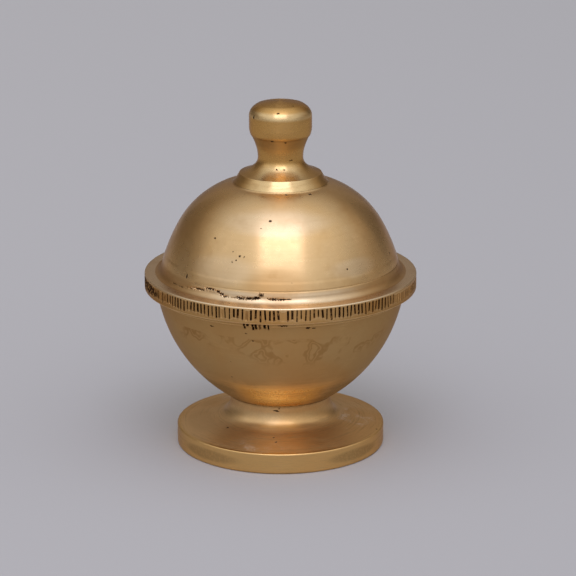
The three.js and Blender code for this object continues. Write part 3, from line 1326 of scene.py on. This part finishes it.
    def ease_collar(self, band: Band) -> Band:
        """Hollows the dome beside the collar, so that it turns up into the collar's flare.

        The depth is collar_sink x t e^(1 - t), with t the distance outside the collar as a share of
        collar_sink_reach.

        Args:
            band: The dome.

        Returns:
            The same band.
        """
        t = np.maximum(band.radius - self.collar_radius, 0) / self.collar_sink_reach
        return band.sink(self.collar_sink * t * np.exp(1 - t))

    def outline(self) -> np.ndarray:
        """The outer side, from the flange's underside to the collar.

        Returns:
            An array of (r, z) rows.
        """
        edge, low, high = self.flange_radius, self.seat_height, self.flange_top
        return chain(
            arc((edge - self.edge_round, low + self.edge_round), self.edge_round, -90, 0, 4),
            arc((edge - self.edge_round, high - self.edge_round), self.edge_round, 0, 89, 4),
            arc((self.cove_foot, high + self.cove_radius), self.cove_radius, 269, 180, 10),
            self.dome(high + self.cove_radius, 30, 20),
        )

    def notches(self) -> NotchRow:
        """The notches, cut by hand: uneven in place, width, depth and height, and here and there crowded.

        They are wider at the left, and almost missing in front and at one place on the right.

        Returns:
            The row of notches.
        """
        rng = np.random.default_rng(21)
        count = self.notch_count
        pace = np.full(count, 360 / count) * (1 + rng.uniform(-0.09, 0.09, count))
        even = np.arange(count) * 360 / count - 180
        crowded = (even > -30.5) & (even < -24.0)
        crowded |= (even > 96) & (even < 101)
        pace[crowded] *= 0.7
        azimuth = -180 + np.cumsum(pace * 360 / pace.sum())
        azimuth += 0.9 - (azimuth[-1] - 180)
        half_width = rng.uniform(0.22, 0.42, count)
        half_width[crowded] *= 0.8
        half_width[azimuth < -45] *= 1.25
        depth = self.notch_depth * rng.uniform(0.75, 1.0, count)
        faint = rng.random(count) < 0.08
        faint |= (azimuth > 0.2) & (azimuth < 3.0)
        faint |= (azimuth > 55) & (azimuth < 78)
        depth[faint] *= rng.uniform(0.05, 0.4, faint.sum())
        low = self.seat_height + 1.0 + rng.normal(0, 0.2, count).clip(-0.45, 0.6)
        high = self.flange_top - 0.46 + rng.normal(0, 0.06, count).clip(-0.14, 0.1)
        high[faint] -= 0.3
        return NotchRow(
            count=count,
            azimuth=azimuth,
            half_width=half_width,
            depth=depth,
            low=low,
            high=high,
            lean=rng.normal(0, 0.09, count),
            grime_and_shade=np.clip(rng.normal(0.92, 0.12, count), 0.4, 1) * np.where(faint, 0.5, 1),
        )

    def flange_edge(self) -> list[Band]:
        """The flange's edge with its notches, and its top up to the cove.

        On the edge a row's height in each column is worked out from that column's own notch, so
        that two rows always lie just outside and just inside the notch's ends. The azimuth of a
        column leans with its notch, and on the top of the flange it eases back to an even pace.

        Returns:
            The flange's lower edge, its notched side and its top, in the outline's order.
        """
        cuts = self.notches()
        edge, base, top = self.flange_radius, self.seat_height, self.flange_top
        rounding = self.edge_round
        low, high = cuts.spread(cuts.low), cuts.spread(cuts.high)
        first, last = np.full_like(low, base + rounding), np.full_like(low, top - rounding)
        middle = (low + high) / 2
        rows = [first, low - 0.06, low + 0.06, low + 0.3, middle, high - 0.3, high - 0.03, high + 0.05, last]
        heights = np.stack(rows)
        shares = np.array([0, 0, 0.75, 1, 1, 1, 0.8, 0, 0])[:, None]
        rng = np.random.default_rng(4)
        ragged = 1 + 0.25 * rng.uniform(-1, 1, heights.shape)
        depth = shares * cuts.floor() * cuts.spread(cuts.depth) * ragged
        lean = cuts.spread(cuts.lean) * (heights - middle)
        lean_shares = np.array([1, 1, 1, 1, 1, 1, 1, 1, 0.5])[:, None]
        azimuth = cuts.columns() + np.radians(lean * lean_shares)
        outline = np.stack([np.full(9, edge), np.linspace(base, top, 9)], axis=1)
        side = Band.turned(outline, azimuth)
        radius = edge - depth
        side.points = np.stack([radius * np.sin(azimuth), -radius * np.cos(azimuth), heights], axis=-1)
        dirty = np.array([0, 0.4, 1, 1, 1, 1, 1, 0.3, 0])[:, None] * (cuts.floor() > 0)
        dirty = dirty * cuts.spread(cuts.grime_and_shade * np.clip(cuts.depth / self.notch_depth * 1.5, 0, 1))
        side.paint("grime_and_shade", dirty).paint("tarnish_and_shade", 1.0)
        side.paint("grime_and_shade", 0.75, (-86, 38.0, 27, 1.5)).paint("grime_and_shade", 0.3, (84, 38.0, 24, 1.4))
        under = arc((edge - rounding, base + rounding), rounding, -90, -20, 3)
        over = chain(
            arc((edge - rounding, top - rounding), rounding, 22, 90, 4),
            path((edge - rounding, top), (self.cove_foot, top, 3)),
        )
        ease = np.linspace(0, 1, len(over))[:, None] ** 2
        even = even_columns(self.fine_columns)
        drift = (cuts.columns() - even + math.pi) % FULL_TURN - math.pi
        return [
            Band.turned(under, cuts.columns()),
            side,
            # Painted highlight on the flange's top.
            Band.turned(over, even + drift * (1 - ease)).paint("polish_and_highlight", 1.0),
        ]

    def rub_and_highlight(self, band: Band) -> Band:
        """Paints highlights on the dome in patches, and dulls a patch low in front.

        Args:
            band: The dome or the cove.

        Returns:
            The same band.
        """
        # Painted highlights on the dome: patches at the sides and a broad one high in front.
        band.paint("polish_and_highlight", 0.45, (-30, 45.6, 19, 3.2), (40, 45.5, 16, 2.0))
        band.paint("polish_and_highlight", 0.7, (-2, 55.0, 36, 2.6))
        return band.paint("tarnish_and_shade", 0.5, (-2, 43.4, 17, 3.6))

    def cove(self) -> Band:
        """The cove and the dome's foot, with a turned groove and the casting holes.

        A hole's share is 1 inside an ellipse and 0 outside it, over an edge broken up by the
        product of two waves round the axis and up it, plus a third wave. The groove's share is
        e^-(h^2) times 0.6 + 0.4 sin(azimuth - 0.2), with h the height over its middle in units of
        0.13 mm.

        Returns:
            The band, from the flange's top to the start of the dome's band.
        """
        low = self.flange_top + self.cove_radius
        steps = (np.arange(low, 42.0, 0.17), np.arange(42.0, 42.45, 0.075), np.arange(42.5, 43.7, 0.24))
        heights = np.concatenate(steps)
        outline = chain(
            arc((self.cove_foot, low), self.cove_radius, 264, 180, 13),
            np.stack([self.dome_radius(heights), heights], axis=1),
        )
        band = Band.turned(outline, even_columns(self.fine_columns))
        a, z = np.degrees(band.azimuth), band.height
        depth = np.zeros_like(z)
        ragged = np.sin(a * 9.1 + z * 7) * np.sin(a * 4.3 - z * 11 + 1) + 0.6 * np.sin(a * 15.7 + z * 17)
        for azimuth, height, half_length, half_height, deep in self.COVE_MARKS:
            across = (a - azimuth) * math.pi / 180 * self.cove_foot / half_length
            upward = (z - height) / half_height
            share = smooth(1 - np.hypot(across, upward) + 0.5 * ragged, 0.05, 0.4)
            depth = np.maximum(depth, share * deep)
        # Painted shade on the cove's sides.
        band.paint("tarnish_and_shade", 0.6 * band.aside(20, 55) * fall(z, 41.6, 42.6))
        # Painted highlight on the cove in front.
        band.paint("polish_and_highlight", (1 - 0.8 * band.aside(22, 50)) * fall(z, 41.4, 42.2))
        band.paint("grime_and_shade", np.clip(depth * 5, 0, 1))
        self.rub_and_highlight(band)
        groove = np.exp(-(((z - self.groove_height) / 0.13) ** 2)) * (0.6 + 0.4 * np.sin(np.radians(a) - 0.2))
        band.paint("grime_and_shade", groove * 0.3)
        return band.sink(depth + groove * self.groove_depth)

    def inside(self) -> np.ndarray:
        """The screw's hole, the hollow under the dome and the spigot, down to the flange's underside.

        Returns:
            An array of (r, z) rows.
        """
        side, top = self.dome_centres()
        crown = self.seat_height + self.dome_height
        ceiling = crown - self.crown_thickness
        bore = self.spigot_radius - self.spigot_wall
        inner_side, inner_top = self.side_round - self.dome_wall, self.shoulder_round - self.dome_wall
        seat_angle = angle_at_radius(self.crown_seat, top[0], inner_top)
        bore_angle = angle_at_radius(bore, side[0], inner_side)
        low = self.seat_height - self.spigot_length
        return chain(
            path((self.screw_hole, crown), (self.screw_hole, ceiling, 3), (self.crown_seat, ceiling, 4)),
            arc(tuple(top), inner_top, seat_angle, self.shoulder_angle, 14),
            arc(tuple(side), inner_side, self.shoulder_angle, bore_angle, 12),
            path(
                (bore, low + 6),
                (bore, low + 0.2, 4),
                (bore + 0.2, low, 1),
                (self.spigot_radius - self.spigot_lead_in, low, 2),
                (self.spigot_radius, low + self.spigot_lead_in, 2),
                (self.spigot_radius, self.seat_height, 5),
            ),
        )

    def build(self) -> bpy.types.Object:
        """Builds the lid: its inside and spigot, the flange, the cove and the dome.

        Returns:
            The piece.
        """
        dome = Band.turned(self.dome(self.dome_start, 22, 20), self.columns)
        dome = self.rub_and_highlight(hand_work(self.ease_collar(dome), 0.06, 17))
        bands = [Band.turned(self.inside(), 200), *self.flange_edge(), self.cove(), dome]
        return turned_piece("domed_lid", bands, closed=True)

    def finish(self, pits: tuple[Place, ...]) -> Brass:
        """Cast brass, evenly turned, with crumbly dirt in its holes.

        Args:
            pits: The lid's pits, placed on the box.

        Returns:
            The finish.
        """
        return Brass(
            "cast_brass_lid",
            clean=(0.77, 0.505, 0.23),
            warm=(0.77, 0.45, 0.16),
            dull=(0.53, 0.30, 0.105),
            # Colour of the painted highlights.
            bright=(0.85, 0.63, 0.37),
            gloss=0.0,
            ragged=0.8,
            line_depth=0.0011,
            streaks=0.3,
            dull_roughness=0.42,
            shine=0.27,
            brushing=0.82,
            pits=pits,
            pitting=0.7,
        )


@dataclass
class Knob:
    """The turned knob: collar, neck and head in one. Heights are above its seat on the crown."""

    seat_height: float = 59.8
    collar_radius: float = 10.45
    collar_flare: float = 0.7
    collar_flare_height: float = 0.75
    collar_taper: float = 0.75
    collar_height: float = 2.1
    sweep_rise: float = 1.2
    neck_radius: float = 4.98
    neck_height: float = 5.5
    neck_straight: float = 2.2
    flare_height: float = 4.75
    head_radius: float = 6.9
    head_low_step: float = 0.6
    head_low_rise: float = 0.25
    head_low_round: float = 1.85
    head_side: float = 2.8
    shoulder_lean: float = 0.15
    shoulder_height: float = 1.5
    crown_inset: float = 1.9
    crown_drop: float = 0.7
    crown_flat: float = 3.2
    crown_fall: float = 0.1
    edge_drop: float = 0.9
    seat_break: float = 0.12
    screw_hole: float = 2.2
    hole_depth: float = 8.5
    columns: int = 300

    PITS = (
        Pit(278.2, 113.6, 0.3, 0.22),
        Pit(253.6, 117, 0.25, 0.5),
        Pit(277, 170, 0.2, 0.15),
        Pit(284, 170, 0.25, 0.12),
        Pit(291, 160.3, 0.5, 0.12),
        Pit(272, 141.5, 0.3, 0.2),
        Pit(285, 143, 0.4, 0.14),
        Pit(293, 106, 0.2, 0.15),
    )

    @property
    def head_low(self) -> float:
        """Height of the head's underside above the seat."""
        return self.neck_height + self.flare_height

    @property
    def head_high(self) -> float:
        """Height of the head's shoulder above the seat."""
        return self.head_low + self.head_low_round + self.head_side

    def outline(self) -> np.ndarray:
        """The outer side, from the collar's edge to the middle of the crown.

        Returns:
            An array of (r, z) rows, with z above the table.
        """
        low, high = self.head_low, self.head_high
        edge = high + self.shoulder_height + self.edge_drop
        top = edge + self.crown_drop
        seat = (self.collar_radius - 0.03, 0.02)
        flare = (self.collar_radius - self.collar_flare, self.collar_flare_height)
        flare_end = (flare[0] - 0.04, flare[1] + 0.1)
        collar = (flare[0] - self.collar_taper, self.collar_height)
        collar_edge = (collar[0] + 0.05, collar[1] - 0.1)
        break_line = (collar[0] - 0.12, collar[1] - 0.02)
        neck = (self.neck_radius, self.neck_height)
        under = (self.head_radius - self.head_low_step, low)
        side = (self.head_radius, low + self.head_low_round)
        lean = self.head_radius - self.shoulder_lean
        crown = (self.head_radius - self.crown_inset, edge)
        outline = chain(
            line((self.collar_radius - self.seat_break, 0), seat),
            bend(seat, (flare[0] + 0.27, flare[1] - 0.28), flare_end, 8),
            line(flare_end, collar_edge, 8),
            bend(collar_edge, (collar[0], collar[1] - 0.01), break_line, 3),
            bend(break_line, (self.neck_radius, self.collar_height + self.sweep_rise), neck, 28),
            bend(neck, (self.neck_radius, self.neck_height + self.neck_straight), under, 22),
            bend(under, (lean, low + self.head_low_rise), side, 12),
            line(side, (self.head_radius, high), 8),
            bend((self.head_radius, high), (lean, high + self.shoulder_height), crown, 14),
            bend(crown, (self.crown_flat, top - self.crown_fall), (0, top), 16),
        )
        return outline + [0, self.seat_height]

    def dress(self, band: Band) -> Band:
        """Darkens the knob under its head and in the corner there, paints highlights on the sweep and the
        shoulder, and shade on the collar's sides.

        Args:
            band: The outer side.

        Returns:
            The same band.
        """
        seat, z = self.seat_height, band.height
        under = seat + self.neck_height + self.flare_height
        shoulder = under + self.head_low_round + self.head_side
        neck = seat + self.neck_height
        aside = band.aside(22, 58)
        band.paint("tarnish_and_shade", 0.7 * smooth(z, under - 3.0, under - 1.2) * fall(z, under + 0.1, under + 0.6))
        band.paint("grime_and_shade", 0.2 * np.exp(-(((z - under) / 0.22) ** 2)))
        # Painted highlight on the collar and its sweep, brightest in front.
        band.paint("polish_and_highlight", (0.85 - 0.6 * aside) * fall(z, neck - 2, neck))
        # Painted shade on the collar's sides.
        band.paint("tarnish_and_shade", 0.15 * aside * fall(z, seat + 2.2, seat + 3.0))
        # Painted highlight round the head's shoulder.
        lit = smooth(z, shoulder - 0.4, shoulder + 0.2)
        return band.paint("polish_and_highlight", 0.9 * lit * fall(z, shoulder + 1.0, shoulder + 1.7))

    def build(self) -> bpy.types.Object:
        """Builds the knob, with the screw's hole in it.

        Returns:
            The piece.
        """
        outline = self.outline()
        outer = hand_work(Band.turned(outline[:-1], self.columns), 0.05, 29)
        hole_top = self.seat_height + self.hole_depth
        bore = path((0.4, hole_top), (self.screw_hole, hole_top, 2), (self.screw_hole, self.seat_height, 6))
        bands = [Band.pole(hole_top), Band.turned(bore, 60), self.dress(outer), Band.pole(outline[-1][1])]
        return turned_piece("turned_knob", bands, closed=False)

    def finish(self, pits: tuple[Place, ...]) -> Brass:
        """Turned brass, darker and browner than the lid.

        Args:
            pits: The knob's pits, placed on the box.

        Returns:
            The finish.
        """
        return Brass(
            "turned_brass_knob",
            clean=(0.65, 0.37, 0.115),
            warm=(0.62, 0.325, 0.08),
            dull=(0.46, 0.27, 0.10),
            # Colour of the painted highlights.
            bright=(0.80, 0.57, 0.27),
            gloss=0.0,
            shine=0.24,
            brushing=0.8,
            line_depth=0.0022,
            pits=pits,
        )


@dataclass
class Screw:
    """A slotted brass screw, its grip threaded, head up or head down.

    Tip is the tip's height above the table, and the other heights are from the tip.
    """

    name: str
    tip: float
    grip: float
    upright: bool
    radius: float = 1.9
    head_radius: float = 3.6
    head_height: float = 2.2
    slot_width: float = 0.9
    slot_depth: float = 1.1
    tip_break: float = 0.4
    thread_pitch: float = 0.8
    thread_depth: float = 0.3
    columns: int = 72

    def build(self) -> bpy.types.Object:
        """Builds the screw.

        The thread's radius is the outer radius less its depth times how far, as a share of half a
        pitch, the point is from the nearest crest of a helix.

        Returns:
            The piece.
        """
        top = self.grip + self.head_height
        rows = np.linspace(self.tip_break, self.grip - 1, int((self.grip - 1) / self.thread_pitch * 6))
        head_edge = self.head_radius - self.tip_break
        outline = chain(
            line((self.radius - self.tip_break, 0), (self.radius - 0.1, self.tip_break)),
            np.stack([np.full(len(rows), self.radius), rows], axis=1),
            path(
                (self.radius, self.grip - 0.9),
                (self.radius, self.grip, 2),
                (self.head_radius, self.grip, 2),
                (self.head_radius, top - self.tip_break, 3),
            ),
            arc((head_edge, top - self.tip_break), self.tip_break, 0, 90, 4),
            line((head_edge, top), (0.3, top), 4),
        )
        band = Band.turned(outline, self.columns)
        z = band.height
        phase = (z / self.thread_pitch - band.azimuth / FULL_TURN) % 1
        crest = 1 - np.abs(2 * phase - 1)
        threaded = smooth(z, 0, 0.8) * fall(z, self.grip - 1.6, self.grip - 1) * (z < self.grip - 0.5)
        scale = 1 - threaded * (1 - crest) * self.thread_depth / band.radius
        band.points[..., :2] *= scale[..., None]
        screw = turned_piece(self.name, [Band.pole(0), band, Band.pole(top)], closed=False)
        self.cut_slot(screw, top)
        turn = 1 if self.upright else -1
        mesh = screw.data
        points = np.empty(len(mesh.vertices) * 3)
        mesh.vertices.foreach_get("co", points)
        points = points.reshape(-1, 3) * [1, turn, turn] + [0, 0, self.tip * MM]
        mesh.vertices.foreach_set("co", points.ravel())
        mesh.update()
        return screw

    def cut_slot(self, screw: bpy.types.Object, top: float) -> None:
        """Cuts the slot across the head with a plain block, which is then removed.

        Args:
            screw: The screw, its tip at the origin.
            top: Height of the head's top.
        """
        wide = self.head_radius + 0.5
        low, high = top - self.slot_depth, top + 0.5
        half = self.slot_width / 2
        corners = np.array([[x, y, z] for x in (-wide, wide) for y in (-half, half) for z in (low, high)])
        faces = np.array([[0, 1, 3, 2], [4, 6, 7, 5], [0, 4, 5, 1], [2, 3, 7, 6], [0, 2, 6, 4], [1, 5, 7, 3]])
        block = make_mesh(f"{self.name}_block", corners, [faces], {})
        cut = screw.modifiers.new("slot", "BOOLEAN")
        cut.operation, cut.solver, cut.object = "DIFFERENCE", "EXACT", block
        graph = bpy.context.evaluated_depsgraph_get()
        mesh = bpy.data.meshes.new_from_object(screw.evaluated_get(graph))
        screw.modifiers.clear()
        old = screw.data
        screw.data = mesh
        bpy.data.meshes.remove(old)
        bpy.data.objects.remove(block)
        mesh.name = self.name
        mesh.set_sharp_from_angle(angle=math.radians(CREASE))


@dataclass
class Washer:
    """A flat washer with its edges broken."""

    name: str
    low: float
    hole: float = 2.2
    radius: float = 5.2
    thickness: float = 0.8
    edge: float = 0.12

    def build(self) -> bpy.types.Object:
        """Builds the washer.

        Returns:
            The piece.
        """
        low, high, e = self.low, self.low + self.thickness, self.edge
        outline = path(
            (self.hole + e, low),
            (self.radius - e, low, 3),
            (self.radius, low + e, 1),
            (self.radius, high - e, 2),
            (self.radius - e, high, 1),
            (self.hole + e, high, 6),
            (self.hole, high - e, 1),
            (self.hole, low + e, 2),
        )
        return turned_piece(self.name, [Band.turned(outline, 96)], closed=True)


# The whole box


@dataclass
class KumkumBox:
    """The box: foot, bowl, lid and knob, with the two screws and washers that hold them together."""

    photograph: Photograph
    foot: Foot = field(default_factory=Foot)
    bowl: Bowl = field(default_factory=Bowl)
    lid: Lid = field(default_factory=Lid)
    knob: Knob = field(default_factory=Knob)

    def outline(self) -> np.ndarray:
        """The outer side of the whole box.

        Returns:
            An array of (r, z) rows with z rising.
        """
        whole = chain(self.foot.outline(), self.bowl.outline(), self.lid.outline(), self.knob.outline())
        rising = np.maximum.accumulate(whole[:, 1]) + np.arange(len(whole)) * 1e-7
        return np.stack([whole[:, 0], rising], axis=1)

    def places(self, pits: tuple[Pit, ...]) -> tuple[Place, ...]:
        """Finds where each pit lies on the box.

        Args:
            pits: Pits as the photograph shows them.

        Returns:
            The place (x, y, z) of each, with its half width and half height.
        """
        outline = self.outline()
        found = [self.photograph.find(pit.x, pit.y, outline) for pit in pits]
        return tuple((*map(float, place), pit.half_width, pit.half_height) for place, pit in zip(found, pits))

    def build(self) -> None:
        """Builds every piece, gives it its finish and sets it on its body."""
        foot, bowl, lid, knob = self.foot, self.bowl, self.lid, self.knob
        finishes = [part.finish(self.places(part.PITS)) for part in (foot, bowl, lid, knob)]
        turned, cast, lid_cast, knob_turned = finishes
        fixing = Brass("fixing_brass", clean=(0.62, 0.40, 0.18), shine=0.36, dull_share=0.6, pitting=0)
        bowl_floor = bowl.foot_height + bowl.floor
        ceiling = lid.seat_height + lid.dome_height - lid.crown_thickness
        low_washer = Washer("foot_screw_washer", bowl_floor)
        high_washer = Washer("knob_screw_washer", ceiling - Washer.thickness)
        low_screw = Screw("foot_fixing_screw", tip=4.5, grip=11.3, upright=True)
        high_screw = Screw("knob_fixing_screw", tip=67.8, grip=11.2, upright=False)
        parts = [
            (foot, turned, Slot.TURNED, Body.BASE, "foot"),
            (bowl, cast, Slot.CAST, Body.BASE, "bowl"),
            (low_washer, fixing, Slot.FIXING, Body.BASE, "foot_washer"),
            (low_screw, fixing, Slot.FIXING, Body.BASE, "foot_screw"),
            (lid, lid_cast, Slot.CAST, Body.COVER, "lid"),
            (knob, knob_turned, Slot.TURNED, Body.COVER, "knob"),
            (high_washer, fixing, Slot.FIXING, Body.COVER, "knob_washer"),
            (high_screw, fixing, Slot.FIXING, Body.COVER, "knob_screw"),
        ]
        made: dict[Brass, bpy.types.Material] = {}
        for part, finish, slot, body, node in parts:
            piece = part.build()
            if finish not in made:
                made[finish] = finish.make()
            piece.data.materials.clear()
            piece.data.materials.append(made[finish])
            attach(piece, body.value)
            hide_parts(node)
            log.info("%s: %d faces, rides on %s", piece.name, len(piece.data.polygons), body.value)


@dataclass(frozen=True)
class Lamp:
    """A soft lamp that faces the box, seen from it at an azimuth and an elevation in degrees.

    Lengths are in metres. Its glow is how bright its face looks, where white paper lit by an even
    sky of strength 1 is 1.
    """

    name: str
    azimuth: float
    elevation: float
    distance: float
    width: float
    height: float
    glow: float
    colour: Colour = (1.0, 1.0, 1.0)

    def make(self, aim: Vector) -> None:
        """Makes the lamp, whose power is pi times its area times its glow.

        Args:
            aim: The point that it faces, in metres.
        """
        data = bpy.data.lights.new(self.name, "AREA")
        data.shape = "RECTANGLE"
        data.size, data.size_y = self.width, self.height
        data.energy = math.pi * self.width * self.height * self.glow
        data.color = self.colour
        lamp = bpy.data.objects.new(self.name, data)
        bpy.context.scene.collection.objects.link(lamp)
        a, e = math.radians(self.azimuth), math.radians(self.elevation)
        way = Vector((math.sin(a) * math.cos(e), -math.cos(a) * math.cos(e), math.sin(e)))
        lamp.location = aim + way * self.distance
        lamp.rotation_mode = "QUATERNION"
        lamp.rotation_quaternion = way.to_track_quat("Z", "Y")


@dataclass
class Studio:
    """A plain pale floor and soft light. Colours are linear, and lengths are in metres."""

    floor_colour: Colour = (0.52, 0.495, 0.46)
    # The floor's colour towards the right: painted shade.
    floor_right_shade: Colour = (0.475, 0.455, 0.425)
    floor_radius: float = 4.0
    sky: Colour = (1.0, 1.04, 1.18)
    sky_dim: Colour = (1.0, 0.90, 0.83)
    sky_least: float = 0.20
    sky_level: float = 0.23
    sky_high: float = 1.12
    sky_azimuth: float = 3.0
    sky_elevation: float = 55.0
    aim_height: float = 0.04
    lamps: tuple[Lamp, ...] = (
        Lamp("key", 1, 50, 2.0, 1.45, 1.10, 1.3, (1.0, 1.02, 1.42)),
        Lamp("top", 1, 75, 2.0, 1.45, 0.70, 0.4, (1.0, 1.02, 1.42)),
        Lamp("back", 180, 20, 2.5, 2.4, 1.5, 0.13, (1.0, 1.03, 1.14)),
        Lamp("left", -78, 26, 2.0, 1.0, 1.2, 0.13, (1.0, 0.98, 1.0)),
        Lamp("right", 110, 16, 2.0, 1.2, 1.2, 0.10, (1.0, 0.86, 0.75)),
    )

    def make_floor(self) -> None:
        """Makes the floor, a wide disc, and its dull grey finish, with shade painted towards the right."""
        outline = np.array([[self.floor_radius / MM, 0], [self.floor_radius / MM / 2, 0]])
        floor = turned_piece("floor", [Band.turned(outline, 64), Band.pole(0)], closed=False)
        material = bpy.data.materials.new("floor_paper")
        material.use_nodes = True
        g = Graph(material.node_tree)
        across = g.parts(g.node("ShaderNodeTexCoord", output="Object"))[0]
        colour = g.blend(across.ramp(-0.35, 0.35), self.floor_colour, self.floor_right_shade)
        inputs = {"Base Color": colour, "Roughness": 0.9, "Specular IOR Level": 0.1}
        shader = g.node("ShaderNodeBsdfPrincipled", None, inputs)
        g.node("ShaderNodeOutputMaterial", None, {"Surface": shader})
        floor.data.materials.append(material)

    def make_world(self) -> None:
        """Makes a soft sky, brightest above and in front and dim at the back and near the floor.

        Its strength grows evenly with the cosine of the angle between a direction and the brightest
        one, from sky_level at a right angle to sky_high, and is never below sky_least. It falls to
        three quarters towards the horizon, and its colour turns from sky to the warmer sky_dim
        where it is dim.
        """
        world = bpy.data.worlds.new("studio")
        world.use_nodes = True
        bpy.context.scene.world = world
        g = Graph(world.node_tree)
        a, e = math.radians(self.sky_azimuth), math.radians(self.sky_elevation)
        bright = (math.sin(a) * math.cos(e), -math.cos(a) * math.cos(e), math.sin(e))
        way = g.node("ShaderNodeTexCoord", output="Generated")
        near = g.vector("DOT_PRODUCT", way, bright, "Value")
        rise = g.parts(way)[2]
        glow = (near * (self.sky_high - self.sky_level) + self.sky_level).most(self.sky_least)
        colour = g.blend(glow.ramp(0.25, 0.6), self.sky_dim, self.sky)
        glow = glow * rise.ramp(0.0, 0.45, 0.74, 1.0)
        light = g.node("ShaderNodeBackground", None, {"Color": colour, "Strength": glow})
        g.node("ShaderNodeOutputWorld", None, {"Surface": light})

    def make(self) -> None:
        """Makes the floor, the world and the lamps."""
        self.make_floor()
        self.make_world()
        for lamp in self.lamps:
            lamp.make(Vector((0, 0, self.aim_height)))


def main() -> None:
    """Builds the box and its studio."""
    logging.basicConfig(level=logging.INFO, format="%(message)s")
    photograph = Photograph()
    KumkumBox(photograph).build()
    Studio().make()
    photograph.make_camera()
    bpy.context.scene.view_settings.view_transform = "Standard"


if __name__ == "__main__":
    main()
